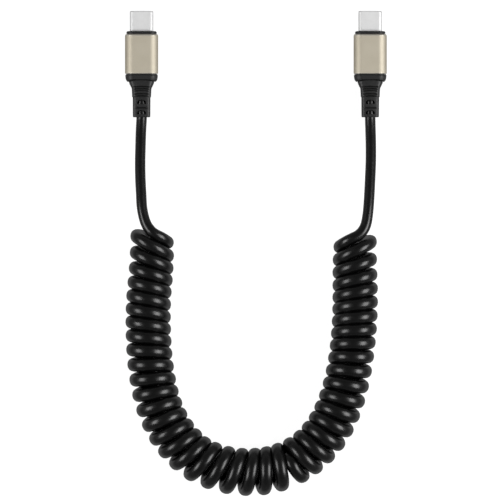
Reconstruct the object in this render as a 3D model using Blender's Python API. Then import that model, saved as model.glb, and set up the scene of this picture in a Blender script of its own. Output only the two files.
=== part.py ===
"""Coiled USB-C cable: one curly cord laid in a U, with the same plug on each of its ends.

The plugs lie flat with their tips towards +Y. The cord leaves them towards -Y, rises to the top of the
coil and is wound into one long coil, which is shown as a plain tube of the coil's outer diameter.
Metres, +Z up. The origin is on the floor, midway between the two plugs.
"""

import math

import bmesh
import bpy
from mathutils import Vector

MM = 0.001

# Plug shell, and what it holds
SHELL_WIDTH = 8.25 * MM
SHELL_HEIGHT = 2.40 * MM
SHELL_CORNER = 1.15 * MM
SHELL_WALL = 0.25 * MM
SHELL_EXPOSED = 7.1 * MM
LIP_SETBACK = 0.3 * MM
SLOT_WIDTH = 6.9 * MM
SLOT_HEIGHT = 1.1 * MM
SLOT_DEPTH = 5.6 * MM
CONTACT_COUNT = 12
CONTACT_PITCH = 0.5 * MM
CONTACT_WIDTH = 0.26 * MM
CONTACT_THICKNESS = 0.12 * MM
CONTACT_LENGTH = 4.4 * MM
CONTACT_BAR = 0.6 * MM

# Black rim in front of the sleeve, and its spigot inside the sleeve
RIM_DEPTH = 1.0 * MM
RIM_SETBACK = 0.5 * MM
RIM_CHAMFER = 0.4 * MM
SPIGOT_LENGTH = 2.5 * MM

# Aluminium sleeve
SLEEVE_WIDTH = 11.65 * MM
SLEEVE_HEIGHT = 6.4 * MM
SLEEVE_CORNER = 3.0 * MM
SLEEVE_WALL = 0.8 * MM
SLEEVE_LENGTH = 14.0 * MM
SLEEVE_CHAMFER = 0.5 * MM

# Black cap behind the sleeve
REAR_CAP_LENGTH = 2.8 * MM
REAR_CAP_SHOULDER = 1.3 * MM
REAR_CAP_SHOULDER_TAPER = 0.2 * MM
REAR_CAP_END_TAPER = 0.95 * MM

# Strain relief, from the rear cap to the cord
NECK_WIDTH = 6.6 * MM
NECK_HEIGHT = 4.0 * MM
NECK_CORNER = 1.6 * MM
BELL_WIDTH = 9.1 * MM
BELL_HEIGHT = 5.3 * MM
BELL_CORNER = 1.9 * MM
BELL_LENGTH = 2.8 * MM
BELL_HOLLOW = 0.3 * MM
COLLAR_WIDTH = 6.8 * MM
COLLAR_HEIGHT = 5.2 * MM
COLLAR_CORNER = 1.4 * MM
COLLAR_LENGTH = 2.5 * MM
TAIL_WIDTH = 6.15 * MM
TAIL_HEIGHT = 5.0 * MM
TAIL_CORNER = 1.2 * MM
TAIL_LENGTH = 7.1 * MM
WINDOW_WIDTH = 3.1 * MM
WINDOW_LENGTH = 1.5 * MM
WINDOW_DEPTH = 0.9 * MM
WINDOW_COUNT = 2
WINDOW_PITCH = 3.6 * MM
FIRST_WINDOW = 1.5 * MM

# Cord and coil
LEAD_AT_PLUG = 3.7 * MM
LEAD_AT_COIL = 3.9 * MM
COIL_DIAMETER = 15.8 * MM
PLUG_SPACING = 80.3 * MM

# Clearances: between pieces fitted in each other, and where the cord's solids meet
FIT_GAP = 0.1 * MM
CORD_GAP = 0.3 * MM

# Steps of the curved shapes
CORNER_STEPS = 5
LEAD_POINT_STEP = 3.2 * MM
COIL_POINT_STEP = 4.6 * MM

PLUG_LENGTH = (TAIL_LENGTH + COLLAR_LENGTH + BELL_LENGTH + REAR_CAP_LENGTH + SLEEVE_LENGTH
               + RIM_DEPTH + SHELL_EXPOSED)
PLUG_TAIL_Y = -PLUG_LENGTH / 2
PLUG_AXIS_Z = SLEEVE_HEIGHT / 2
COIL_AXIS_Z = COIL_DIAMETER / 2

# Stations along a plug, from the cord's end of the strain relief forwards
COLLAR_Y = TAIL_LENGTH
BELL_Y = COLLAR_Y + COLLAR_LENGTH
REAR_CAP_Y = BELL_Y + BELL_LENGTH
SLEEVE_Y = REAR_CAP_Y + REAR_CAP_LENGTH
RIM_Y = SLEEVE_Y + SLEEVE_LENGTH
SHELL_Y = RIM_Y + RIM_DEPTH
TIP_Y = SHELL_Y + SHELL_EXPOSED
SHELL_BACK_Y = RIM_Y - SPIGOT_LENGTH

# The coil's axis on the floor plan in millimetres, from the left end round to the right end
COIL_ROUTE = [
    (-36.6, -59.3), (-36.8, -66.4), (-37.2, -74.1), (-37.6, -80.6), (-37.8, -87.3), (-37.7, -94.8),
    (-37.2, -103.0), (-36.1, -110.9), (-34.5, -117.9), (-32.3, -123.9), (-29.2, -129.6), (-25.3, -134.5),
    (-20.7, -138.4), (-15.2, -141.1), (-9.4, -142.7), (-3.6, -143.3), (2.3, -143.0), (8.3, -141.6),
    (13.9, -139.1), (19.0, -135.6), (23.3, -131.1), (26.8, -125.8), (29.4, -120.0), (31.3, -114.0),
    (32.7, -107.8), (33.7, -101.3), (34.4, -94.5), (34.8, -87.5), (34.9, -80.6), (34.8, -73.9),
    (34.8, -67.5), (34.9, -61.3),
]

# Each lead in millimetres: sideways from its plug's axis, along Y, and its rise as a share of the way
# from the plug's axis up to the height where it meets the coil
LEAD_LEFT_ROUTE = [
    (-0.2, -23.2, 0.075), (-0.35, -28.8, 0.24), (-0.45, -34.4, 0.41), (-0.35, -40.0, 0.58),
    (-0.05, -45.6, 0.75), (0.25, -50.3, 0.88), (0.95, -53.9, 0.955), (1.8, -56.3, 0.99),
]
LEAD_RIGHT_ROUTE = [
    (0.1, -23.2, 0.075), (0.2, -28.8, 0.24), (0.15, -34.4, 0.41), (-0.1, -40.0, 0.58),
    (-0.4, -45.6, 0.745), (-0.7, -50.0, 0.865), (-1.1, -53.6, 0.94), (-1.7, -56.5, 0.975),
    (-2.4, -58.7, 0.995),
]
LEAD_MEETS_COIL_Z = COIL_AXIS_Z + 4.6 * MM


def remove_scene_objects():
    for obj in list(bpy.data.objects):
        bpy.data.objects.remove(obj, do_unlink=True)


def new_collection(name):
    collection = bpy.data.collections.new(name)
    bpy.context.scene.collection.children.link(collection)
    return collection


def make_material(name, color, roughness, metallic=0.0):
    material = bpy.data.materials.new(name)
    material.use_nodes = True
    shader = material.node_tree.nodes["Principled BSDF"]
    shader.inputs["Base Color"].default_value = (*color, 1.0)
    shader.inputs["Roughness"].default_value = roughness
    shader.inputs["Metallic"].default_value = metallic
    material.diffuse_color = (*color, 1.0)
    return material


def rounded_outline(width, height, corner):
    """Points (x, z) of a rounded rectangle, one way round."""
    points = []
    corners = [(1, 1, 0.0), (-1, 1, 0.5 * math.pi), (-1, -1, math.pi), (1, -1, 1.5 * math.pi)]
    for side_x, side_z, start in corners:
        centre_x = side_x * (width / 2 - corner)
        centre_z = side_z * (height / 2 - corner)
        for step in range(CORNER_STEPS + 1):
            angle = start + 0.5 * math.pi * step / CORNER_STEPS
            points.append((centre_x + corner * math.cos(angle), centre_z + corner * math.sin(angle)))
    return points


def add_ring(bm, section):
    y, width, height, corner = section
    return [bm.verts.new((x, y, z)) for x, z in rounded_outline(width, height, corner)]


def join_rings(bm, first, second):
    for index in range(len(first)):
        after = (index + 1) % len(first)
        bm.faces.new((first[index], first[after], second[after], second[index]))


def loft(name, sections, bore=()):
    """A closed mesh through rounded sections (y, width, height, corner), with a bore if one is given."""
    bm = bmesh.new()
    outer = [add_ring(bm, section) for section in sections]
    for first, second in zip(outer, outer[1:]):
        join_rings(bm, first, second)
    if bore:
        inner = [add_ring(bm, section) for section in bore]
        for first, second in zip(inner, inner[1:]):
            join_rings(bm, first, second)
        join_rings(bm, outer[0], inner[0])
        join_rings(bm, outer[-1], inner[-1])
    else:
        bm.faces.new(outer[0])
        bm.faces.new(outer[-1])
    bmesh.ops.recalc_face_normals(bm, faces=bm.faces)
    mesh = bpy.data.meshes.new(name)
    bm.to_mesh(mesh)
    bm.free()
    mesh.shade_smooth()
    mesh.set_sharp_from_angle(angle=math.radians(35))
    return mesh


def inset(section, amount):
    """The same section, smaller by an amount on every side."""
    y, width, height, corner = section
    return (y, width - 2 * amount, height - 2 * amount, max(corner - amount, 0.2 * MM))


def sleeve_section(y):
    return (y, SLEEVE_WIDTH, SLEEVE_HEIGHT, SLEEVE_CORNER)


def shell_section(y):
    return (y, SHELL_WIDTH, SHELL_HEIGHT, SHELL_CORNER)


def neck_section(y):
    return (y, NECK_WIDTH, NECK_HEIGHT, NECK_CORNER)


def shell_mesh():
    ends = [shell_section(SHELL_BACK_Y), shell_section(TIP_Y)]
    return loft("shell", ends, [inset(end, SHELL_WALL) for end in ends])


def insulator_mesh():
    ends = [shell_section(SHELL_BACK_Y), shell_section(TIP_Y - LIP_SETBACK)]
    return loft("insulator", [inset(end, SHELL_WALL + FIT_GAP) for end in ends])


def front_cap_mesh():
    around_shell = [inset(shell_section(y), -FIT_GAP) for y in (SHELL_BACK_Y, SHELL_Y)]
    spigot = SLEEVE_WALL + FIT_GAP
    rim_foot_y = RIM_Y + FIT_GAP
    sections = [
        inset(sleeve_section(SHELL_BACK_Y), spigot),
        inset(sleeve_section(rim_foot_y), spigot),
        inset(sleeve_section(rim_foot_y), RIM_SETBACK),
        inset(sleeve_section(SHELL_Y - RIM_CHAMFER), RIM_SETBACK),
        inset(sleeve_section(SHELL_Y), RIM_SETBACK + RIM_CHAMFER),
    ]
    return loft("front_cap", sections, around_shell)


def sleeve_mesh():
    back, front = SLEEVE_Y, RIM_Y
    sections = [
        inset(sleeve_section(back), SLEEVE_CHAMFER / 2),
        sleeve_section(back + SLEEVE_CHAMFER / 2),
        sleeve_section(front - SLEEVE_CHAMFER),
        inset(sleeve_section(front), SLEEVE_CHAMFER),
    ]
    bore = [inset(sleeve_section(y), SLEEVE_WALL) for y in (back, front)]
    return loft("sleeve", sections, bore)


def rear_cap_mesh():
    front_y = SLEEVE_Y - FIT_GAP
    sections = [
        inset(sleeve_section(REAR_CAP_Y), REAR_CAP_END_TAPER),
        inset(sleeve_section(SLEEVE_Y - REAR_CAP_SHOULDER), REAR_CAP_SHOULDER_TAPER),
        sleeve_section(front_y),
    ]
    bore = [inset(neck_section(y), -FIT_GAP) for y in (REAR_CAP_Y, front_y)]
    return loft("rear_cap", sections, bore)


def strain_relief_mesh():
    """Tail, collar and bell behind the rear cap, a neck through it, and the core that fills the sleeve."""
    core = SLEEVE_WALL + FIT_GAP
    bell_foot_y = REAR_CAP_Y - FIT_GAP
    bell_waist = (COLLAR_WIDTH + BELL_WIDTH) / 2 - BELL_HOLLOW
    collar_drop = (COLLAR_WIDTH - TAIL_WIDTH) / 2
    sections = [
        (0.0, TAIL_WIDTH, TAIL_HEIGHT, TAIL_CORNER),
        (COLLAR_Y - collar_drop, TAIL_WIDTH, TAIL_HEIGHT, TAIL_CORNER),
        (COLLAR_Y, COLLAR_WIDTH, COLLAR_HEIGHT, COLLAR_CORNER),
        (BELL_Y, COLLAR_WIDTH, COLLAR_HEIGHT, COLLAR_CORNER),
        (BELL_Y + BELL_LENGTH / 2, bell_waist, COLLAR_HEIGHT, COLLAR_CORNER),
        (bell_foot_y, BELL_WIDTH, BELL_HEIGHT, BELL_CORNER),
        neck_section(bell_foot_y),
        neck_section(SLEEVE_Y + FIT_GAP),
        inset(sleeve_section(SLEEVE_Y + FIT_GAP), core),
        inset(sleeve_section(SHELL_BACK_Y - FIT_GAP), core),
    ]
    return loft("strain_relief", sections)


def contacts_mesh(name):
    """Twelve contact fingers side by side, joined by the bar that is buried in the back of the slot."""
    slot_end_y = TIP_Y - LIP_SETBACK - SLOT_DEPTH
    bar_back_y = slot_end_y + FIT_GAP
    bar_front_y = bar_back_y + CONTACT_BAR
    finger_tip_y = bar_front_y + CONTACT_LENGTH
    half = CONTACT_WIDTH / 2
    first_x = -CONTACT_PITCH * (CONTACT_COUNT - 1) / 2
    outline = []
    for finger in range(CONTACT_COUNT):
        x = first_x + finger * CONTACT_PITCH
        outline += [(x - half, bar_front_y), (x - half, finger_tip_y)]
        outline += [(x + half, finger_tip_y), (x + half, bar_front_y)]
    outline += [(-first_x + half, bar_back_y), (first_x - half, bar_back_y)]

    curve = bpy.data.curves.new(name, "CURVE")
    curve.dimensions = "2D"
    curve.fill_mode = "BOTH"
    curve.extrude = CONTACT_THICKNESS / 2
    spline = curve.splines.new("POLY")
    spline.points.add(len(outline) - 1)
    for point, (x, y) in zip(spline.points, reversed(outline)):
        point.co = (x, y, 0.0, 1.0)
    spline.use_cyclic_u = True
    return curve


def smooth_route(route, step):
    """Points about a step apart on a smooth curve (Catmull-Rom) through the route's points."""
    ends = [2 * route[0] - route[1]] + list(route) + [2 * route[-1] - route[-2]]
    fine = []
    samples = 16
    for p0, p1, p2, p3 in zip(ends, ends[1:], ends[2:], ends[3:]):
        for sample in range(samples):
            t = sample / samples
            fine.append(0.5 * (2 * p1 + (p2 - p0) * t + (2 * p0 - 5 * p1 + 4 * p2 - p3) * t * t
                               + (3 * p1 - p0 - 3 * p2 + p3) * t ** 3))
    fine.append(route[-1].copy())

    distance = [0.0]
    for first, second in zip(fine, fine[1:]):
        distance.append(distance[-1] + (second - first).length)
    count = max(2, round(distance[-1] / step))
    points = []
    index = 0
    for stop in range(count + 1):
        target = distance[-1] * stop / count
        while index < len(fine) - 2 and distance[index + 1] < target:
            index += 1
        share = (target - distance[index]) / (distance[index + 1] - distance[index])
        points.append(fine[index].lerp(fine[index + 1], share))
    return points


def tube(name, points, diameter, sides_resolution, start_diameter=None):
    """A closed tube along the points, which may start thinner and grow to its diameter."""
    curve = bpy.data.curves.new(name, "CURVE")
    curve.dimensions = "3D"
    curve.bevel_depth = diameter / 2
    curve.bevel_resolution = sides_resolution
    curve.use_fill_caps = True
    spline = curve.splines.new("POLY")
    spline.points.add(len(points) - 1)
    start_share = (start_diameter or diameter) / diameter
    for index, (point, place) in enumerate(zip(spline.points, points)):
        point.co = (*place, 1.0)
        point.radius = start_share + (1.0 - start_share) * index / (len(points) - 1)
    spline.use_smooth = True
    return curve


def coil_route():
    return [Vector((x * MM, y * MM, COIL_AXIS_Z)) for x, y in COIL_ROUTE]


def lead_route(side, route, coil_end_y):
    """From just behind the strain relief to just short of the coil's end face, square to both."""
    plug_x = side * PLUG_SPACING / 2
    rise = LEAD_MEETS_COIL_Z - PLUG_AXIS_Z
    start = Vector((plug_x, PLUG_TAIL_Y - CORD_GAP, PLUG_AXIS_Z))
    straight = start - Vector((0.0, LEAD_AT_PLUG / 2, 0.0))
    middle = [Vector((plug_x + x * MM, y * MM, PLUG_AXIS_Z + share * rise)) for x, y, share in route]
    end = Vector((plug_x + route[-1][0] * MM, coil_end_y + CORD_GAP, LEAD_MEETS_COIL_Z))
    return [start, straight] + middle + [end]


def add_object(name, data, material, collection, parent=None, place=(0.0, 0.0, 0.0)):
    obj = bpy.data.objects.new(name, data)
    collection.objects.link(obj)
    obj.parent = parent
    obj.location = place
    if not data.materials:
        data.materials.append(material)
    return obj


def add_cutter(name, size, place, parent, collection):
    mesh = bpy.data.meshes.new(name)
    bm = bmesh.new()
    bmesh.ops.create_cube(bm, size=1.0)
    bmesh.ops.scale(bm, vec=size, verts=bm.verts)
    bm.to_mesh(mesh)
    bm.free()
    cutter = bpy.data.objects.new(name, mesh)
    collection.objects.link(cutter)
    cutter.parent = parent
    cutter.location = place
    cutter.hide_render = True
    cutter.display_type = "WIRE"
    return cutter


def cut(obj, cutter):
    modifier = obj.modifiers.new(cutter.name, "BOOLEAN")
    modifier.operation = "DIFFERENCE"
    modifier.solver = "EXACT"
    modifier.object = cutter


def cut_slot(insulator, name, parent, cutters):
    """The slot for the port's tongue, open at the insulator's front."""
    overshoot = 1.0 * MM
    front_y = TIP_Y - LIP_SETBACK
    size = (SLOT_WIDTH, SLOT_DEPTH + overshoot, SLOT_HEIGHT)
    place = (0.0, front_y + (overshoot - SLOT_DEPTH) / 2, 0.0)
    cut(insulator, add_cutter("slot_" + name, size, place, parent, cutters))


def cut_windows(strain_relief, name, parent, cutters):
    """Windows in the tail's upper and lower faces, which let it bend."""
    overshoot = 1.0 * MM
    size = (WINDOW_WIDTH, WINDOW_LENGTH, WINDOW_DEPTH + overshoot)
    height = TAIL_HEIGHT / 2 + (overshoot - WINDOW_DEPTH) / 2
    for number in range(WINDOW_COUNT):
        y = FIRST_WINDOW + number * WINDOW_PITCH
        for label, z in (("top", height), ("bottom", -height)):
            cutter_name = f"window_{name}_{label}_{number + 1}"
            cut(strain_relief, add_cutter(cutter_name, size, (0.0, y, z), parent, cutters))


def add_plug(name, side, shapes, materials, parts, cutters):
    """One plug, placed by its parent empty at the cord's end of its strain relief."""
    plug = bpy.data.objects.new("plug_" + name, None)
    parts.objects.link(plug)
    plug.location = (side * PLUG_SPACING / 2, PLUG_TAIL_Y, PLUG_AXIS_Z)

    add_object("shell_" + name, shapes["shell"], materials["steel"], parts, plug)
    insulator = add_object("insulator_" + name, shapes["insulator"], materials["black"], parts, plug)
    cut_slot(insulator, name, plug, cutters)
    contact_z = SLOT_HEIGHT / 2 - CONTACT_THICKNESS / 2 - FIT_GAP / 2
    for row, z in (("upper", contact_z), ("lower", -contact_z)):
        add_object(f"contacts_{row}_{name}", shapes["contacts"], materials["gold"], parts, plug, (0.0, 0.0, z))
    add_object("front_cap_" + name, shapes["front_cap"], materials["black"], parts, plug)
    add_object("sleeve_" + name, shapes["sleeve"], materials["champagne"], parts, plug)
    add_object("rear_cap_" + name, shapes["rear_cap"], materials["black"], parts, plug)
    relief = add_object("strain_relief_" + name, shapes["strain_relief"], materials["soft"], parts, plug)
    cut_windows(relief, name, plug, cutters)


def add_cord(materials, parts):
    """The coil as one fat tube, and the two leads that run from it to the plugs."""
    route = coil_route()
    coil_points = smooth_route(route, COIL_POINT_STEP)
    add_object("coil", tube("coil", coil_points, COIL_DIAMETER, 4), materials["cord"], parts)
    leads = (
        ("left", -1, LEAD_LEFT_ROUTE, route[0].y),
        ("right", 1, LEAD_RIGHT_ROUTE, route[-1].y),
    )
    for name, side, lead, coil_end_y in leads:
        points = smooth_route(lead_route(side, lead, coil_end_y), LEAD_POINT_STEP)
        curve = tube("lead_" + name, points, LEAD_AT_COIL, 2, LEAD_AT_PLUG)
        add_object("lead_" + name, curve, materials["cord"], parts)


def main():
    remove_scene_objects()
    parts = new_collection("coiled_usb_c_cable")
    cutters = new_collection("cutters")
    materials = {
        "steel": make_material("steel", (0.72, 0.72, 0.73), 0.28, 1.0),
        "black": make_material("black_plastic", (0.022, 0.022, 0.023), 0.45),
        "gold": make_material("contact_gold", (0.80, 0.58, 0.24), 0.3, 1.0),
        "champagne": make_material("champagne_aluminium", (0.62, 0.54, 0.43), 0.32, 1.0),
        "soft": make_material("soft_black", (0.025, 0.025, 0.026), 0.55),
        "cord": make_material("cord_black", (0.012, 0.012, 0.012), 0.35),
    }
    shapes = {
        "shell": shell_mesh(),
        "insulator": insulator_mesh(),
        "contacts": contacts_mesh("contacts"),
        "front_cap": front_cap_mesh(),
        "sleeve": sleeve_mesh(),
        "rear_cap": rear_cap_mesh(),
        "strain_relief": strain_relief_mesh(),
    }
    for name, side in (("left", -1), ("right", 1)):
        add_plug(name, side, shapes, materials, parts, cutters)
    add_cord(materials, parts)


main()
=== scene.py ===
"""Looks of the coiled USB-C cable: the wound cord, the two plugs, and a plain white studio.

Metres, +Z up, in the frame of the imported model. The plugs' tips point to +Y. Plug meshes are built
along +Y from the cord's end of the strain relief, on the plug's own axis.
"""

import math

import bmesh
import bpy
import numpy as np
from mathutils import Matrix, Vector


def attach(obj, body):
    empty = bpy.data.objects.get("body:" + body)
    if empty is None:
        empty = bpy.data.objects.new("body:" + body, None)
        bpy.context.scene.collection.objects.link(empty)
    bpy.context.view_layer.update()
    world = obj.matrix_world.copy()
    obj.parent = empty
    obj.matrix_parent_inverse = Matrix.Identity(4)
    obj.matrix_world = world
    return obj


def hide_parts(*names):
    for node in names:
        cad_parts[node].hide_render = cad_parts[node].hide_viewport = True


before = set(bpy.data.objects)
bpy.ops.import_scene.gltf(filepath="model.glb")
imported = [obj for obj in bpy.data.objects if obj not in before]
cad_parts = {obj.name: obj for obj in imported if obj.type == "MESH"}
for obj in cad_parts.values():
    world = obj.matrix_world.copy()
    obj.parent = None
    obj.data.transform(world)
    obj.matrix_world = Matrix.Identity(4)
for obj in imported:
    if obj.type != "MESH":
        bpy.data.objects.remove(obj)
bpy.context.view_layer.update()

MM = 0.001

# Plug, the same sizes as the solids, in millimetres. PLUG_X, PLUG_TAIL_Y and PLUG_AXIS_Z place the right
# plug's cord end, and every other Y is counted from there. A size is a width, a height and a corner.
PLUG_SIDES = (("left", -1), ("right", 1))
PLUG_X = 40.15
PLUG_TAIL_Y = -18.65
PLUG_AXIS_Z = 3.2
REAR_CAP_Y = 12.4
SLEEVE_Y = 15.2
RIM_Y = 29.2
SHELL_Y = 30.2
SHELL_BACK_Y = 26.7
TIP_Y = 37.3
SLEEVE_SIZE = (11.65, 6.4, 3.0)
SLEEVE_WALL = 0.8
SHELL_SIZE = (8.25, 2.4, 1.15)
SHELL_WALL = 0.25
NECK_SIZE = (6.6, 4.0, 1.6)
FIT_GAP = 0.1

# Cord, in millimetres. It grows from the lead's size to the coil's between the two distances in
# CORD_GROWS from its ends. In the coil its section is a little square, because the turns press on each
# other, and SLANT_FADE rounds it where it runs along the coil.
LEAD_DIAMETER = 3.7
CORD_GROWS = (45.0, 75.0)
CORD_ALONG_COIL = 4.6
CORD_ACROSS_COIL = 4.4
CORD_SQUARENESS = 2.25
SLANT_FADE = 4.0
CORD_STEP = 0.75
CORD_SIDES = 20

# Where the cord runs: its straight part from inside the strain relief to just outside, the height of
# the coil's axis, how far the turns rise above it, and the leads' height at the coil's ends
CORD_START_Y = 10.0
CORD_STRAIGHT_OUT = 0.6
STRAIGHT_POINTS = 7
AXIS_Z = 7.9
WINDING_HEIGHT = 5.7
LEAD_TOP_Z = 12.5
TURN_STEP = 0.025

# Coil's axis on the floor plan, from the left end round to the right end
COIL_ROUTE = [
    (-36.6, -59.3), (-36.8, -66.4), (-37.2, -74.1), (-37.6, -80.6), (-37.8, -87.3), (-37.7, -94.8),
    (-37.2, -103.0), (-36.1, -110.9), (-34.5, -117.9), (-32.3, -123.9), (-29.2, -129.6), (-25.3, -134.5),
    (-20.7, -138.4), (-15.2, -141.1), (-9.4, -142.7), (-3.6, -143.3), (2.3, -143.0), (8.3, -141.6),
    (13.9, -139.1), (19.0, -135.6), (23.3, -131.1), (26.8, -125.8), (29.4, -120.0), (31.3, -114.0),
    (32.7, -107.8), (33.7, -101.3), (34.4, -94.5), (34.8, -87.5), (34.9, -80.6), (34.8, -73.9),
    (34.8, -67.5), (34.9, -61.3),
]

# Leads: sideways from the plug's axis, along Y, and the rise as a share of the way up to LEAD_TOP_Z
LEAD_LEFT_ROUTE = [
    (-0.2, -23.2, 0.075), (-0.35, -28.8, 0.24), (-0.45, -34.4, 0.41), (-0.35, -40.0, 0.58),
    (-0.05, -45.6, 0.75), (0.25, -50.3, 0.88), (0.95, -53.9, 0.96), (1.8, -56.3, 1.01), (2.75, -57.8, 1.04),
    (3.95, -59.1, 1.06), (5.35, -60.05, 1.04),
]
LEAD_RIGHT_ROUTE = [
    (0.1, -23.2, 0.075), (0.2, -28.8, 0.24), (0.15, -34.4, 0.41), (-0.1, -40.0, 0.58),
    (-0.4, -45.6, 0.745), (-0.7, -50.0, 0.865), (-1.1, -53.6, 0.945), (-1.7, -56.5, 1.0),
    (-2.75, -58.6, 1.035), (-4.3, -60.15, 1.05), (-6.4, -61.25, 1.06),
]

# Turns: how far along the axis a turn sits, and how far its outer side leans back, by turn number
LEFT_TURNS = (0.37, 23.5)
LEFT_PLACE = [
    (0.5, 0.8), (3, 13.3), (6, 26.9), (9, 40.5), (12, 55.2), (15, 69.95), (18, 85.45), (21, 102.7),
    (23.5, 115.9),
]
LEFT_LEAN = [
    (0.5, 2.3), (1, 2.2), (2, 1.4), (4, 0.3), (7, 0.25), (10, -0.2), (14, -0.6), (17, 0.25), (20, 0.6),
    (23.5, 0.0),
]
RIGHT_TURNS = (24.02, 41.65)
RIGHT_PLACE = [
    (24, 119.4), (27, 134.7), (30, 149.5), (33, 164.3), (36, 177.95), (39, 191.45), (41.5, 204.15),
]
RIGHT_LEAN = [
    (24, -0.5), (26.5, 0.3), (29, 0.5), (31.5, 0.35), (34, 0.0), (36.5, -0.2), (39, -0.7), (40.3, -1.4),
    (41, -2.25), (41.5, -2.3),
]

# The winding's radius, and how far it sits towards the inside of the coil's bend, by turn number
WINDING_RADIUS = [
    (0.5, 5.45), (3, 5.6), (8, 5.8), (13, 5.95), (18, 6.1), (22, 6.25), (25, 6.1), (28, 6.0), (33, 5.77),
    (38, 5.77), (41.5, 5.4),
]
WINDING_INWARD = [
    (0.5, 0.35), (3, 0.35), (5, 0.1), (9, 0.0), (14, -0.1), (17, 0.05), (21, 0.18), (24, 0.05), (30, 0.12),
    (38, 0.08), (41, 0.15),
]

# How far the top of a turn sits outward of its middle, and further along the axis, by turn number
TOP_OUTWARD = [
    (0.5, 0.75), (5, 0.5), (10, 0.4), (15, 0.25), (20, 0.0), (27, 0.0), (32, 0.25), (36, 0.4), (41.5, 0.4),
]
TOP_AHEAD = [(0.5, -0.3), (10, -0.35), (16, -0.1), (20, 0.0), (28, 0.0), (33, 0.3), (41.5, 0.3)]

# Where the winding turns back, in an S of three arcs across the coil: centre outward and up, radius,
# first and last angle in degrees. Then its place along the coil's axis, by the share of its own length.
REVERSAL_ARCS = [
    (-3.3, -2.75, 2.95, 180.0, 395.7), (0.9, 1.6, 3.0, 215.7, 65.0), (2.7, 0.32, 3.4, 65.0, 0.0),
]
REVERSAL_ANGLE_STEP = 20.0
REVERSAL_PLACE = [(0.0, 116.0), (0.35, 116.8), (0.65, 118.5), (0.8, 118.9), (1.0, 119.8)]

# Camera, straight above. Its view and sensor are in millimetres, and the rest in metres.
VIEW_CENTRE = (-2.07, -65.3)
VIEW_WIDTH = 175.4
SENSOR_WIDTH = 36.0
CAMERA_DISTANCE = 2.5
CAMERA_TARGET_Z = 0.0065
CAMERA_CLIP = (0.05, 20.0)


# Objects and meshes


def add_object(name, data):
    made = bpy.data.objects.new(name, data)
    bpy.context.scene.collection.objects.link(made)
    return made


def join_rings(bm, first, second, index=0):
    """A band of faces between two rings of vertices, with a material index."""
    for a in range(len(first)):
        b = (a + 1) % len(first)
        face = bm.faces.new((first[a], first[b], second[b], second[a]))
        face.material_index = index


def mesh_from(bm, name):
    """A mesh of the closed faces, all turned outwards."""
    bmesh.ops.recalc_face_normals(bm, faces=bm.faces)
    mesh = bpy.data.meshes.new(name)
    bm.to_mesh(mesh)
    bm.free()
    return mesh


# Camera


def studio_camera():
    data = bpy.data.cameras.new("camera")
    data.sensor_width = SENSOR_WIDTH
    data.lens = SENSOR_WIDTH * CAMERA_DISTANCE / (VIEW_WIDTH * MM)
    data.clip_start, data.clip_end = CAMERA_CLIP
    camera = add_object("camera", data)
    camera.location = (VIEW_CENTRE[0] * MM, VIEW_CENTRE[1] * MM, CAMERA_TARGET_Z + CAMERA_DISTANCE)
    camera.rotation_euler = (0.0, 0.0, 0.0)
    bpy.context.scene.camera = camera


# Smooth lines


def smooth_values(knots, values, places):
    """Values on a smooth curve through the knots, straight on beyond the first and last."""
    knots, values, places = (np.asarray(x, float) for x in (knots, values, places))
    before = np.maximum(np.arange(len(knots)) - 1, 0)
    after = np.minimum(np.arange(len(knots)) + 1, len(knots) - 1)
    shape = (-1,) + (1,) * (values.ndim - 1)
    slopes = (values[after] - values[before]) / (knots[after] - knots[before]).reshape(shape)
    inside = np.clip(places, knots[0], knots[-1])
    cell = np.clip(np.searchsorted(knots, inside) - 1, 0, len(knots) - 2)
    width = (knots[cell + 1] - knots[cell]).reshape(shape)
    t = (inside - knots[cell]).reshape(shape) / width
    curve = (
        (2 * t**3 - 3 * t**2 + 1) * values[cell]
        + (t**3 - 2 * t**2 + t) * width * slopes[cell]
        + (3 * t**2 - 2 * t**3) * values[cell + 1]
        + (t**3 - t**2) * width * slopes[cell + 1]
    )
    beyond = (places - inside).reshape(shape)
    return curve + np.where(beyond < 0, slopes[0], slopes[-1]) * beyond


def by_turn(pairs, turns):
    """Values on a smooth curve through pairs of a place and its value."""
    knots, values = zip(*pairs)
    return smooth_values(knots, values, turns)


def distance_along(points):
    steps = np.linalg.norm(np.diff(points, axis=0), axis=1)
    return np.concatenate([[0.0], np.cumsum(steps)])


def catmull_rom(route, samples=16):
    """Points on the same curve through the route's points as the coil's solid follows."""
    points = np.array(route, float)
    ends = np.vstack([2 * points[0] - points[1], points, 2 * points[-1] - points[-2]])
    t = (np.arange(samples) / samples)[:, None]
    pieces = []
    for p0, p1, p2, p3 in zip(ends, ends[1:], ends[2:], ends[3:]):
        square = (2 * p0 - 5 * p1 + 4 * p2 - p3) * t**2
        cube = (3 * p1 - p0 - 3 * p2 + p3) * t**3
        pieces.append(0.5 * (2 * p1 + (p2 - p0) * t + square + cube))
    return np.vstack(pieces + [points[-1:]])


# Cord


COIL_AXIS = catmull_rom(COIL_ROUTE)
COIL_AXIS_PLACE = distance_along(COIL_AXIS)
AXIS_STRIDE = 4
AXIS_LOOK = 1.0


def around_coil_axis(along, outward, up):
    """Points given by their distance along the coil's axis and their place in the section across it."""
    knots, route = COIL_AXIS_PLACE[::AXIS_STRIDE], COIL_AXIS[::AXIS_STRIDE]
    place = smooth_values(knots, route, along)
    ahead = smooth_values(knots, route, along + AXIS_LOOK) - smooth_values(knots, route, along - AXIS_LOOK)
    ahead /= np.linalg.norm(ahead, axis=1)[:, None]
    out = np.column_stack([ahead[:, 1], -ahead[:, 0]])
    return np.column_stack([place + out * outward[:, None], AXIS_Z + up])


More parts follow.
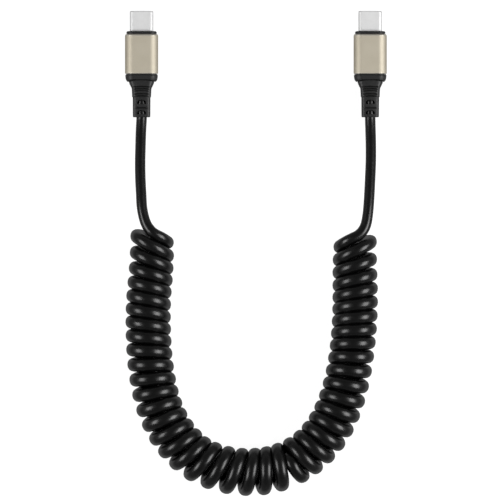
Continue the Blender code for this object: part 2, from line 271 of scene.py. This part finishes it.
def wound_turns(span, hand, place, lean):
    """The winding from one turn number to another. A whole number is the coil's outer side."""
    turns = np.arange(span[0], span[1], TURN_STEP)
    angle = 2 * math.pi * turns
    along = by_turn(place, turns) - by_turn(lean, turns) * np.cos(angle)
    ends = WINDING_RADIUS[0][0], WINDING_RADIUS[-1][0]
    radius = by_turn(WINDING_RADIUS, np.clip(turns, *ends))
    outward = radius * np.cos(angle) - by_turn(WINDING_INWARD, turns)
    upward = hand * np.sin(angle)
    outward += by_turn(TOP_OUTWARD, turns) * upward
    along += by_turn(TOP_AHEAD, turns) * upward
    return around_coil_axis(along, outward, WINDING_HEIGHT * upward)


def reversal_points():
    """From the inner side round below, up through the middle, and over to the outer side."""
    section = []
    for out, up, radius, first, last in REVERSAL_ARCS:
        count = round(abs(last - first) / REVERSAL_ANGLE_STEP) + 1
        angles = np.radians(np.linspace(first, last, count))
        section.append(np.column_stack([out + radius * np.cos(angles), up + radius * np.sin(angles)]))
    section = np.vstack(section)
    way = distance_along(section)
    along = by_turn(REVERSAL_PLACE, way / way[-1])
    return around_coil_axis(along, section[:, 0], section[:, 1])


def lead_points(side, route):
    """From inside the strain relief, straight out of it, and up to the top of the coil's end."""
    straight = np.linspace(PLUG_TAIL_Y + CORD_START_Y, PLUG_TAIL_Y - CORD_STRAIGHT_OUT, STRAIGHT_POINTS)
    points = [(side * PLUG_X, y, PLUG_AXIS_Z) for y in straight]
    rise = LEAD_TOP_Z - PLUG_AXIS_Z
    points += [(side * PLUG_X + x, y, PLUG_AXIS_Z + share * rise) for x, y, share in route]
    return np.array(points)


def cord_centreline():
    """Evenly spaced points from the left plug to the right one."""
    points = np.vstack([
        lead_points(-1, LEAD_LEFT_ROUTE),
        wound_turns(LEFT_TURNS, 1, LEFT_PLACE, LEFT_LEAN),
        reversal_points(),
        wound_turns(RIGHT_TURNS, -1, RIGHT_PLACE, RIGHT_LEAN),
        lead_points(1, LEAD_RIGHT_ROUTE)[::-1],
    ])
    along = distance_along(points)
    stops = np.linspace(0.0, along[-1], round(along[-1] / CORD_STEP) + 1)
    return smooth_values(along, points, stops)


def wound_share(points):
    """0 near the cord's ends and 1 in the coil, growing between the distances in CORD_GROWS."""
    along = distance_along(points)
    from_end = np.minimum(along, along[-1] - along)
    return np.interp(from_end, CORD_GROWS, (0.0, 1.0))


def unit(vectors):
    return vectors / np.maximum(np.linalg.norm(vectors, axis=1), 1e-9)[:, None]


def cord_frames(points):
    """Unit vectors along the cord, and two across it that turn as little as they can."""
    ahead = unit(np.gradient(points, axis=0))
    side = np.zeros_like(points)
    last = np.array([1.0, 0.0, 0.0])
    for index, tangent in enumerate(ahead):
        last = last - tangent * (last @ tangent)
        last = last / np.linalg.norm(last)
        side[index] = last
    return ahead, side, np.cross(ahead, side)


def coil_directions(points):
    """The way that the coil's axis runs beside each point."""
    gaps = np.linalg.norm(points[:, None, :2] - COIL_AXIS[None], axis=2)
    flat = unit(np.gradient(COIL_AXIS, axis=0))[gaps.argmin(axis=1)]
    return np.column_stack([flat, np.zeros(len(flat))])


def pressed_radius(ring, along, across, slant):
    """The wound section's radius in each of the ring's directions, round where the cord slants."""
    share_along = np.abs((ring * along[:, None]).sum(axis=2)) / (CORD_ALONG_COIL / 2)
    share_across = np.abs((ring * across[:, None]).sum(axis=2)) / (CORD_ACROSS_COIL / 2)
    power = CORD_SQUARENESS
    square = (share_along**power + share_across**power) ** (-1 / power)
    pressed = np.clip(1 - SLANT_FADE * slant**2, 0.0, 1.0)[:, None]
    return pressed * square + (1 - pressed) * CORD_ACROSS_COIL / 2


def cord_rings(points):
    """Rings round the cord: round in the leads, and a little square where it is wound."""
    ahead, side, up = cord_frames(points)
    coil_ahead = coil_directions(points)
    slant = (ahead * coil_ahead).sum(axis=1)
    along = unit(coil_ahead - ahead * slant[:, None])
    across = np.cross(ahead, along)
    angles = 2 * math.pi * np.arange(CORD_SIDES) / CORD_SIDES
    ring = side[:, None] * np.cos(angles)[:, None] + up[:, None] * np.sin(angles)[:, None]
    wound = wound_share(points)[:, None]
    radius = wound * pressed_radius(ring, along, across, slant) + (1 - wound) * LEAD_DIAMETER / 2
    return points[:, None] + ring * radius[..., None]


def cord_mesh(points):
    bm = bmesh.new()
    rings = [[bm.verts.new(place) for place in ring] for ring in cord_rings(points) * MM]
    bm.faces.new(rings[0])
    bm.faces.new(rings[-1])
    for first, second in zip(rings, rings[1:]):
        join_rings(bm, first, second)
    mesh = mesh_from(bm, "cord")
    mesh.shade_smooth()
    return mesh


def make_cord(material):
    """The cord, and its centreline in metres."""
    points = cord_centreline()
    mesh = cord_mesh(points)
    mesh.materials.append(material)
    cord = add_object("cord", mesh)
    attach(cord, "root")
    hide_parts("lead_left", "coil", "lead_right")
    return cord, points * MM


# Materials


# Noise values at which a varied roughness or colour reaches its ends
ROUGHNESS_NOISE = (0.3, 0.7)
COLOR_NOISE = (0.35, 0.65)


class Shading:
    """A material with its main shader, and short ways to add the nodes that feed it."""

    def __init__(self, name, color, roughness, metallic=0.0):
        self.material = bpy.data.materials.new(name)
        self.material.use_nodes = True
        self.tree = self.material.node_tree
        self.shader = self.tree.nodes["Principled BSDF"]
        self.set("Base Color", (*color, 1.0))
        self.set("Roughness", roughness)
        self.set("Metallic", metallic)
        self.coordinates = self.tree.nodes.new("ShaderNodeTexCoord").outputs["Object"]

    def set(self, socket, value):
        self.shader.inputs[socket].default_value = value

    def link(self, output, socket):
        self.tree.links.new(output, socket)

    def noise(self, size, detail=2.0, stretch=(1.0, 1.0, 1.0)):
        """Noise whose grains are about size millimetres across, longer where stretch is above 1."""
        mapping = self.tree.nodes.new("ShaderNodeMapping")
        mapping.inputs["Scale"].default_value = [1.0 / (size * MM * s) for s in stretch]
        self.link(self.coordinates, mapping.inputs["Vector"])
        noise = self.tree.nodes.new("ShaderNodeTexNoise")
        noise.inputs["Scale"].default_value = 1.0
        noise.inputs["Detail"].default_value = detail
        self.link(mapping.outputs["Vector"], noise.inputs["Vector"])
        return noise.outputs["Fac"]

    def vary_roughness(self, noise, low, high):
        spread = self.tree.nodes.new("ShaderNodeMapRange")
        spread.inputs["From Min"].default_value = ROUGHNESS_NOISE[0]
        spread.inputs["From Max"].default_value = ROUGHNESS_NOISE[1]
        spread.inputs["To Min"].default_value = low
        spread.inputs["To Max"].default_value = high
        self.link(noise, spread.inputs["Value"])
        self.link(spread.outputs["Result"], self.shader.inputs["Roughness"])

    def vary_color(self, noise, dark, light):
        ramp = self.tree.nodes.new("ShaderNodeValToRGB")
        for stop, position, color in zip(ramp.color_ramp.elements, COLOR_NOISE, (dark, light)):
            stop.position = position
            stop.color = (*color, 1.0)
        self.link(noise, ramp.inputs["Fac"])
        self.link(ramp.outputs["Color"], self.shader.inputs["Base Color"])

    def bump(self, height, depth, strength=1.0):
        """Relief of a depth in millimetres."""
        bump = self.tree.nodes.new("ShaderNodeBump")
        bump.inputs["Strength"].default_value = strength
        bump.inputs["Distance"].default_value = depth * MM
        self.link(height, bump.inputs["Height"])
        self.link(bump.outputs["Normal"], self.shader.inputs["Normal"])


def cord_material():
    made = Shading("cord_jacket", (0.0022, 0.0022, 0.0022), 0.28)
    made.vary_color(made.noise(6.0, 3.0), (0.0018, 0.0018, 0.0018), (0.0026, 0.0026, 0.0027))
    made.vary_roughness(made.noise(1.6, 4.0), 0.26, 0.31)
    made.bump(made.noise(0.5, 2.0), 0.001)
    return made.material


def sleeve_material():
    made = Shading("anodised_aluminium", (0.66, 0.61, 0.503), 0.66, 1.0)
    made.vary_color(made.noise(5.0, 2.0), (0.645, 0.595, 0.488), (0.675, 0.625, 0.518))
    made.vary_roughness(made.noise(0.25, 5.0), 0.63, 0.69)
    made.set("Specular Tint", (0.25, 0.22, 0.20, 1.0))
    made.bump(made.noise(0.06, 3.0), 0.004)
    return made.material


def sleeve_edge_material():
    made = Shading("cut_aluminium_edge", (0.72, 0.68, 0.60), 0.55, 1.0)
    made.vary_roughness(made.noise(0.3, 4.0, (1.0, 0.1, 1.0)), 0.50, 0.60)
    return made.material


def steel_material():
    made = Shading("drawn_steel", (0.89, 0.89, 0.89), 0.7, 1.0)
    made.vary_color(made.noise(3.0, 3.0), (0.87, 0.87, 0.87), (0.91, 0.91, 0.91))
    made.vary_roughness(made.noise(0.2, 4.0, (1.0, 14.0, 1.0)), 0.66, 0.73)
    made.set("Specular Tint", (0.5, 0.5, 0.5, 1.0))
    made.bump(made.noise(0.07, 3.0, (1.0, 30.0, 1.0)), 0.001)
    return made.material


def hard_plastic_material():
    made = Shading("hard_black_plastic", (0.0075, 0.0075, 0.0076), 0.51)
    made.vary_color(made.noise(4.0, 2.0), (0.006, 0.006, 0.0062), (0.009, 0.009, 0.0092))
    made.vary_roughness(made.noise(0.5, 4.0), 0.46, 0.56)
    made.bump(made.noise(0.12, 3.0), 0.006)
    return made.material


def soft_plastic_material():
    made = Shading("soft_black_moulding", (0.0093, 0.0093, 0.0095), 0.48)
    made.vary_color(made.noise(3.0, 3.0), (0.0075, 0.0075, 0.0077), (0.011, 0.011, 0.0113))
    made.vary_roughness(made.noise(0.6, 4.0), 0.42, 0.54)
    made.bump(made.noise(0.15, 4.0), 0.010)
    return made.material


def insulator_material():
    made = Shading("connector_plastic", (0.012, 0.012, 0.012), 0.5)
    made.vary_roughness(made.noise(0.3, 3.0), 0.42, 0.56)
    made.bump(made.noise(0.1, 2.0), 0.003)
    return made.material


def contact_material():
    made = Shading("gold_contact", (0.86, 0.62, 0.24), 0.25, 1.0)
    made.vary_color(made.noise(0.8, 2.0), (0.82, 0.58, 0.21), (0.90, 0.66, 0.28))
    made.vary_roughness(made.noise(0.1, 3.0, (1.0, 8.0, 1.0)), 0.2, 0.32)
    return made.material


# Plug pieces


CORNER_STEPS = 14
SMALLEST_CORNER = 0.15
SMALLEST_SIDE_FLAT = 0.02
SHARP_ANGLE = 50
NORMAL_WEIGHT = 80


def rounded_outline(width, height, corner, steps):
    """Points (x, z) of a rounded rectangle, one way round."""
    points = []
    corners = [(1, 1, 0.0), (-1, 1, 0.5 * math.pi), (-1, -1, math.pi), (1, -1, 1.5 * math.pi)]
    for side_x, side_z, start in corners:
        centre_x = side_x * (width / 2 - corner)
        centre_z = side_z * (height / 2 - corner)
        for step in range(steps + 1):
            angle = start + 0.5 * math.pi * step / steps
            points.append((centre_x + corner * math.cos(angle), centre_z + corner * math.sin(angle)))
    return points


def inset(size, amount):
    """The same section, smaller by an amount all round."""
    width, height, corner = size
    return (width - 2 * amount, height - 2 * amount, max(corner - amount, SMALLEST_CORNER))


def narrowed(size, sides, faces):
    """The same section, smaller at its narrow sides and at its broad faces."""
    width, height, corner = size
    height -= 2 * faces
    return (width - 2 * sides, height, min(corner, height / 2 - SMALLEST_SIDE_FLAT))


def add_ring(bm, y, outline):
    """A ring of vertices at y, through points (x, z)."""
    return [bm.verts.new((x * MM, y * MM, z * MM)) for x, z in outline]


def tube_wall(bm, sections):
    """The rings of a wall through sections (y, size, material index). A band takes the later one's."""
    rings = [add_ring(bm, y, rounded_outline(*size, CORNER_STEPS)) for y, size, _ in sections]
    for first, second, section in zip(rings, rings[1:], sections[1:]):
        join_rings(bm, first, second, section[2])
    return rings


def tube_mesh(name, outside, bore=()):
    """A closed mesh through sections (y, size, material index), with a bore if one is given."""
    bm = bmesh.new()
    outer = tube_wall(bm, outside)
    if bore:
        inner = tube_wall(bm, bore)
        join_rings(bm, outer[0], inner[0], outside[0][2])
        join_rings(bm, outer[-1], inner[-1], outside[-1][2])
    else:
        bm.faces.new(outer[0])
        bm.faces.new(outer[-1])
    mesh = mesh_from(bm, name)
    mesh.shade_smooth()
    mesh.set_sharp_from_angle(angle=math.radians(SHARP_ANGLE))
    return mesh


def rounded_edge(y, size, radius, towards, index=0, steps=4):
    """Sections that round a tube's outer edge at y. towards is 1 at the front end and -1 at the back."""
    sections = []
    for step in range(steps + 1):
        angle = 0.5 * math.pi * step / steps
        place = y - towards * radius * (1 - math.sin(angle))
        sections.append((place, inset(size, radius * (1 - math.cos(angle))), index))
    return sections if towards > 0 else sections[::-1]


SHELL_SIDE_LIP = 0.45
SHELL_FACE_LIP = 0.18
SHELL_LIP_STEPS = 6
SHELL_MOUTH = [(0.28, 0.0, 0.0), (0.1, 0.1, 0.0), (0.0, 0.24, -0.03)]  # from the tip, at sides, at faces


def shell_mesh():
    """The drawn tube, whose mouth is rounded a little at its faces and more at its sides."""
    outside = [(SHELL_BACK_Y, SHELL_SIZE, 0)]
    for step in range(SHELL_LIP_STEPS + 1):
        angle = 0.5 * math.pi * step / SHELL_LIP_STEPS
        back, off = 1 - math.sin(angle), 1 - math.cos(angle)
        size = narrowed(SHELL_SIZE, SHELL_SIDE_LIP * off, SHELL_FACE_LIP * off)
        outside.append((TIP_Y - SHELL_SIDE_LIP * back, size, 0))
    bore_size = inset(SHELL_SIZE, SHELL_WALL)
    bore = [(SHELL_BACK_Y, bore_size, 0)]
    for back, sides, faces in SHELL_MOUTH:
        bore.append((TIP_Y - back, narrowed(bore_size, sides, faces), 0))
    return tube_mesh("shell", outside, bore)


SLEEVE_WALL_INDEX, SLEEVE_EDGE_INDEX = 0, 1
SLEEVE_BACK_ROUNDING = 0.3
SLEEVE_RIM_ROUNDING = 0.65


def sleeve_mesh():
    """The tube, whose rounded end edges have a material of their own."""
    back = rounded_edge(SLEEVE_Y, SLEEVE_SIZE, SLEEVE_BACK_ROUNDING, -1, SLEEVE_EDGE_INDEX)
    front = rounded_edge(RIM_Y, SLEEVE_SIZE, SLEEVE_RIM_ROUNDING, 1, SLEEVE_EDGE_INDEX, 6)
    wall_end = (*front[0][:2], SLEEVE_WALL_INDEX)
    bore_size = inset(SLEEVE_SIZE, SLEEVE_WALL)
    bore = [(y, bore_size, SLEEVE_WALL_INDEX) for y in (SLEEVE_Y, RIM_Y)]
    return tube_mesh("sleeve", back + [wall_end] + front[1:], bore)


FRONT_CAP_INSET = 0.5
FRONT_CAP_ROUNDING = 0.5


def front_cap_mesh():
    """The rim round the shell, with a spigot inside the sleeve."""
    rim = inset(SLEEVE_SIZE, FRONT_CAP_INSET)
    spigot = inset(SLEEVE_SIZE, SLEEVE_WALL + FIT_GAP)
    foot_y = RIM_Y + FIT_GAP
    outside = [(SHELL_BACK_Y, spigot, 0), (foot_y, spigot, 0), (foot_y, rim, 0)]
    outside += rounded_edge(SHELL_Y, rim, FRONT_CAP_ROUNDING, 1, 0, 5)
    around_shell = inset(SHELL_SIZE, -FIT_GAP / 2)
    bore = [(SHELL_BACK_Y, around_shell, 0), (SHELL_Y, around_shell, 0)]
    return tube_mesh("front_cap", outside, bore)


def cut_mesh(mesh, cutters, sharp_angle):
    """The mesh with the cutters' meshes taken out of it."""
    body = add_object(mesh.name, mesh)
    tools = [add_object("cutter", cutter) for cutter in cutters]
    for tool in tools:
        modifier = body.modifiers.new("cut", "BOOLEAN")
        modifier.operation = "DIFFERENCE"
        modifier.solver = "EXACT"
        modifier.object = tool
    bpy.context.view_layer.update()
    evaluated = body.evaluated_get(bpy.context.evaluated_depsgraph_get())
    result = bpy.data.meshes.new_from_object(evaluated)
    for obj in [body] + tools:
        bpy.data.objects.remove(obj, do_unlink=True)
    result.shade_smooth()
    result.set_sharp_from_angle(angle=math.radians(sharp_angle))
    return result


# Rear cap. Its bevel and shoulder are distances from its rear and its front end, each with how far
# inside the sleeve's outline it is there. The step in front of them is smaller at its sides and faces.
REAR_CAP_BEVEL = [(0.0, 1.05), (0.08, 0.85), (0.3, 0.6), (0.6, 0.4), (0.95, 0.27), (1.5, 0.17)]
REAR_CAP_SHOULDER = [(0.45, 0.08), (0.4, 0.11)]
REAR_CAP_STEP = 0.36
REAR_CAP_STEP_IN = (0.26, 0.6)
CAP_MOUTH_SIZE = (9.25, 5.75, 1.85)
CAP_MOUTH_Y = (REAR_CAP_Y - 1.0, 13.55)


def rear_cap_mesh():
    """The bevelled cap behind the sleeve, with a wide mouth for the strain relief's bell."""
    front_y = SLEEVE_Y - FIT_GAP
    outside = [(REAR_CAP_Y + rise, inset(SLEEVE_SIZE, amount), 0) for rise, amount in REAR_CAP_BEVEL]
    outside += [(front_y - back, inset(SLEEVE_SIZE, amount), 0) for back, amount in REAR_CAP_SHOULDER]
    step = narrowed(SLEEVE_SIZE, *REAR_CAP_STEP_IN)
    outside += [(front_y - REAR_CAP_STEP, step, 0), (front_y, step, 0)]
    around_neck = inset(NECK_SIZE, -FIT_GAP)
    bore = [(REAR_CAP_Y, around_neck, 0), (front_y, around_neck, 0)]
    body = tube_mesh("rear_cap", outside, bore)
    mouth = tube_mesh("mouth", [(y, CAP_MOUTH_SIZE, 0) for y in CAP_MOUTH_Y])
    return cut_mesh(body, [mouth], SHARP_ANGLE)


# Strain relief: a moulding with arched ribs, a short groove and two windows on its broad faces


RELIEF_PROFILE = [  # y, width, height, corner
    (0.0, 5.75, 4.6, 0.85), (0.08, 5.95, 4.8, 0.95), (0.25, 6.05, 4.95, 1.0), (0.6, 6.1, 5.0, 1.0),
    (3.6, 6.15, 5.05, 1.0), (6.7, 6.2, 5.1, 1.05), (7.0, 6.22, 5.1, 1.05), (7.12, 6.6, 5.3, 1.15),
    (9.3, 6.8, 5.3, 1.2), (9.9, 6.9, 5.35, 1.25), (10.25, 7.05, 5.4, 1.3), (10.9, 7.75, 5.45, 1.4),
    (11.7, 8.5, 5.5, 1.6), (12.1, 8.8, 5.55, 1.7), (13.5, 9.1, 5.65, 1.8),
]
RELIEF_GROOVES = [  # y at its ends, arch, half length, depth, half width
    (12.85, 0.45, 3.9, 0.6, 0.2), (10.55, 0.2, 2.6, 0.45, 0.15), (9.8, 0.25, 2.4, 0.45, 0.15),
    (9.15, 0.2, 2.3, 0.3, 0.13), (8.05, 0.2, 2.3, 0.4, 0.15), (7.2, 0.3, 2.3, 0.45, 0.16),
    (3.3, 0.0, 2.0, 0.42, 0.2),
]
RELIEF_SHARP_ANGLE = 40
RELIEF_CROWN = 0.35
RELIEF_BORE_RADIUS = 1.98

# Grooves reach this many half lengths, fading over the last part of it, and fade towards the corners
GROOVE_REACH = 1.15
GROOVE_FADE = 0.3
GROOVE_CORNER = 0.3
GROOVE_CORNER_POWER = 6

# Rings follow the profile's rounded end up to RELIEF_EVEN_Y, and are evenly spaced from there
RELIEF_EVEN_Y = 0.6
RELIEF_RING_STEP = 0.07
RELIEF_CORNER_STEPS = 12
RELIEF_FLAT_STEPS = 14
SHORTEST_FLAT = 0.5
SAME_HEIGHT = 1e-6

# Windows: where each starts, straight sides under a half oval, and the depths that a cutter spans
WINDOW_BASES = (4.62, 0.98)
WINDOW_HALF_WIDTH = 1.58
WINDOW_HEIGHT = 1.5
WINDOW_SIDE_HEIGHT = 0.45
WINDOW_ARCH_STEPS = 12
WINDOW_DEPTHS = (0.6, 4.0)


def groove_depth(x, y):
    """How deep the grooves are at a point of a broad face."""
    depth = 0.0
    for base, arch, half, deep, half_width in RELIEF_GROOVES:
        across = abs(x) / half
        if across < GROOVE_REACH:
            line = base + arch * (1 - across**2)
            away = (y - line) / half_width
            fade = min(1.0, (GROOVE_REACH - across) / GROOVE_FADE)
            depth = max(depth, deep * fade * math.exp(-away * away))
    return depth


def relief_size(y):
    """The width, height and corner of the strain relief's section at y."""
    knots, *columns = zip(*RELIEF_PROFILE)
    return [float(np.interp(y, knots, column)) for column in columns]


def relief_point(x, y, z, size):
    """A point (x, z) of the plain section at y, moved onto the crowned and grooved surface."""
    width, height, corner = size
    broad = min(1.0, abs(z) / (height / 2 - GROOVE_CORNER * corner))
    z -= math.copysign(RELIEF_CROWN * (2 * x / width) ** 2, z) * abs(2 * z / height)
    drop = groove_depth(x, y) * broad**GROOVE_CORNER_POWER
    return x, z - math.copysign(drop, z)


def relief_outline(y):
    """Points (x, z) of the strain relief's outside at y, with enough on its flats for the grooves."""
    size = relief_size(y)
    outline = rounded_outline(*size, RELIEF_CORNER_STEPS)
    points = []
    for (x, z), (next_x, next_z) in zip(outline, outline[1:] + outline[:1]):
        flat = abs(next_z - z) < SAME_HEIGHT and abs(next_x - x) > SHORTEST_FLAT
        parts = RELIEF_FLAT_STEPS if flat else 1
        for part in range(parts):
            on_x = x + (next_x - x) * part / parts
            on_z = z + (next_z - z) * part / parts
            points.append(relief_point(on_x, y, on_z, size))
    return points


def relief_body_mesh():
    """The moulding and its round bore, before the windows are cut."""
    last_y = RELIEF_PROFILE[-1][0]
    stops = [row[0] for row in RELIEF_PROFILE if row[0] < RELIEF_EVEN_Y]
    stops += list(np.linspace(RELIEF_EVEN_Y, last_y, round(last_y / RELIEF_RING_STEP)))
    bm = bmesh.new()
    rings = [add_ring(bm, y, relief_outline(y)) for y in stops]
    for first, second in zip(rings, rings[1:]):
        join_rings(bm, first, second)
    count = len(rings[0])
    turns = [2 * math.pi * a / count for a in range(count)]
    circle = [(RELIEF_BORE_RADIUS * math.cos(turn), RELIEF_BORE_RADIUS * math.sin(turn)) for turn in turns]
    bore = [add_ring(bm, y, circle) for y in (stops[0], last_y)]
    join_rings(bm, bore[0], bore[1])
    join_rings(bm, rings[0], bore[0])
    join_rings(bm, rings[-1], bore[1])
    return mesh_from(bm, "relief_body")


def window_cutter(base, side):
    """An arched prism that opens one window through a broad face into the bore, from above or below."""
    outline = [(-WINDOW_HALF_WIDTH, base), (WINDOW_HALF_WIDTH, base)]
    for step in range(1, WINDOW_ARCH_STEPS):
        angle = math.pi * step / WINDOW_ARCH_STEPS
        y = base + WINDOW_SIDE_HEIGHT + (WINDOW_HEIGHT - WINDOW_SIDE_HEIGHT) * math.sin(angle)
        outline.append((WINDOW_HALF_WIDTH * math.cos(angle), y))
    bm = bmesh.new()
    rings = []
    for z in sorted(side * depth for depth in WINDOW_DEPTHS):
        rings.append([bm.verts.new((x * MM, y * MM, z * MM)) for x, y in outline])
    join_rings(bm, rings[0], rings[1])
    bm.faces.new(rings[0])
    bm.faces.new(rings[1])
    return mesh_from(bm, "window")


def strain_relief_mesh():
    windows = [window_cutter(base, side) for base in WINDOW_BASES for side in (1, -1)]
    return cut_mesh(relief_body_mesh(), windows, RELIEF_SHARP_ANGLE)


# Plugs


def add_piece(name, mesh, side, materials, replaced):
    """One plug's own copy of a piece. The two plugs share the mesh."""
    piece = add_object(name, mesh)
    piece.location = (side * PLUG_X * MM, PLUG_TAIL_Y * MM, PLUG_AXIS_Z * MM)
    if not mesh.materials:
        for material in materials:
            mesh.materials.append(material)
    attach(piece, "root")
    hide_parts(replaced)
    return piece


def paint_node(name, material):
    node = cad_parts[name]
    for slot in node.material_slots:
        slot.material = material


def weigh_normals(piece):
    modifier = piece.modifiers.new("weighted_normals", "WEIGHTED_NORMAL")
    modifier.keep_sharp = True
    modifier.weight = NORMAL_WEIGHT


def make_plugs():
    """Both plugs, and the pieces of the right one, which is on the cord's far end."""
    steel, plastic, soft = steel_material(), hard_plastic_material(), soft_plastic_material()
    insulator, gold = insulator_material(), contact_material()
    shapes = [
        ("shell", shell_mesh(), [steel], "steel"),
        ("sleeve", sleeve_mesh(), [sleeve_material(), sleeve_edge_material()], "champagne_aluminium"),
        ("front_cap", front_cap_mesh(), [plastic], "black_plastic"),
        ("rear_cap", rear_cap_mesh(), [plastic], "black_plastic"),
        ("strain_relief", strain_relief_mesh(), [soft], "soft_black"),
    ]
    on_far_end = []
    for side_name, side in PLUG_SIDES:
        made = []
        for name, mesh, materials, slot in shapes:
            node = f"{name}_{side_name}"
            piece = add_piece(f"{node}_dressed", mesh, side, materials, node)
            weigh_normals(piece)
            made.append(piece)
        inner = [f"insulator_{side_name}", f"contacts_upper_{side_name}", f"contacts_lower_{side_name}"]
        for node, material in zip(inner, (insulator, gold, gold)):
            paint_node(node, material)
        if side > 0:
            on_far_end = made + inner
    return on_far_end


# Studio


LIGHTS = [  # name, angle from straight up towards +X in degrees, watts, size in metres
    ("light_left", -50.0, 4.4, (0.58, 0.42)),
    ("light_right", 50.0, 6.8, (0.66, 0.46)),
]
LIGHT_TILT = -6.0  # degrees from straight up towards +Y
LIGHT_DISTANCE = 0.9  # metres
LIGHT_TARGET = (-2.0, -65.0, 5.0)  # millimetres
WORLD_LIGHT = [  # height from straight down at 0 to straight up at 1, and brightness
    (0.0, 0.20), (0.10, 0.40), (0.22, 0.60), (0.32, 0.35), (0.42, 0.18), (0.5, 0.22), (0.60, 0.25),
    (0.75, 0.14), (1.0, 0.11),
]
FLOOR_HALF = 2.5  # metres
FLOOR_Z = -0.0001  # metres, just under the coil
FLOOR_GLOW = 0.9


def add_lights():
    target = Vector(LIGHT_TARGET) * MM
    tilt = math.radians(LIGHT_TILT)
    for name, angle, power, size in LIGHTS:
        data = bpy.data.lights.new(name, "AREA")
        data.shape = "RECTANGLE"
        data.size, data.size_y = size
        data.energy = power
        light = add_object(name, data)
        lean = math.radians(angle)
        rise = math.cos(lean)
        offset = Vector((math.sin(lean), rise * math.sin(tilt), rise * math.cos(tilt))) * LIGHT_DISTANCE
        light.location = target + offset
        light.rotation_euler = offset.to_track_quat("Z", "Y").to_euler()


def add_world():
    world = bpy.data.worlds.new("studio")
    bpy.context.scene.world = world
    world.use_nodes = True
    nodes, links = world.node_tree.nodes, world.node_tree.links
    direction = nodes.new("ShaderNodeTexCoord").outputs["Generated"]
    split = nodes.new("ShaderNodeSeparateXYZ")
    links.new(direction, split.inputs["Vector"])
    height = nodes.new("ShaderNodeMapRange")
    height.inputs["From Min"].default_value = -1.0
    height.inputs["From Max"].default_value = 1.0
    links.new(split.outputs["Z"], height.inputs["Value"])
    ramp = nodes.new("ShaderNodeValToRGB")
    links.new(height.outputs["Result"], ramp.inputs["Fac"])
    elements = ramp.color_ramp.elements
    while len(elements) < len(WORLD_LIGHT):
        elements.new(0.5)
    for element, (position, value) in zip(elements, WORLD_LIGHT):
        element.position = position
        element.color = (value, value, value, 1.0)
    links.new(ramp.outputs["Color"], nodes["Background"].inputs["Color"])
    nodes["Background"].inputs["Strength"].default_value = 1.0


def add_floor():
    mesh = bpy.data.meshes.new("floor")
    h = FLOOR_HALF
    mesh.from_pydata([(-h, -h, 0), (h, -h, 0), (h, h, 0), (-h, h, 0)], [], [(0, 1, 2, 3)])
    floor = add_object("floor", mesh)
    floor.location = (VIEW_CENTRE[0] * MM, VIEW_CENTRE[1] * MM, FLOOR_Z)
    made = Shading("white_floor", (0.25, 0.25, 0.25), 0.9)
    made.vary_color(made.noise(40.0, 2.0), (0.24, 0.24, 0.24), (0.26, 0.26, 0.26))
    made.set("Emission Color", (1.0, 1.0, 1.0, 1.0))
    made.set("Emission Strength", FLOOR_GLOW)
    mesh.materials.append(made.material)
    floor.visible_glossy = False


bpy.context.scene.view_settings.view_transform = "Standard"
studio_camera()
cord, cord_line = make_cord(cord_material())
far_end = make_plugs()
add_lights()
add_world()
add_floor()
